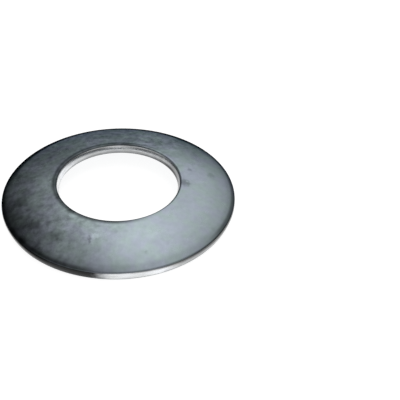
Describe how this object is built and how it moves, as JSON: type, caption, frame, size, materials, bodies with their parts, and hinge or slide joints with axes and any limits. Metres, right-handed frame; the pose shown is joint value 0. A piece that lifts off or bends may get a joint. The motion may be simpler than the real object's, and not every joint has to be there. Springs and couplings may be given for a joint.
{
  "type": "belleville washer",
  "caption": "Coned spring washer: a steel ring pressed into a shallow cone with rounded edges, which pushes back when a bolt or a stack on a rod squeezes it flat.",
  "frame": {"origin": "on the axis of the bore, in the plane that the lower edge of the rim rests on", "axes": "+Z along the axis of the bore, from the rim up to the raised bore edge; the washer is round, so +X and +Y are any two directions square to it"},
  "size_m": [0.05, 0.05, 0.0057],
  "materials": {
    "spring_steel": "dull tumbled steel, cloudy grey with small dark stains on the cone faces and brighter where the bore and rim edges are turned"
  },
  "bodies": {
    "root": {"spring_washer": "spring_steel"}
  },
  "joints": []
}
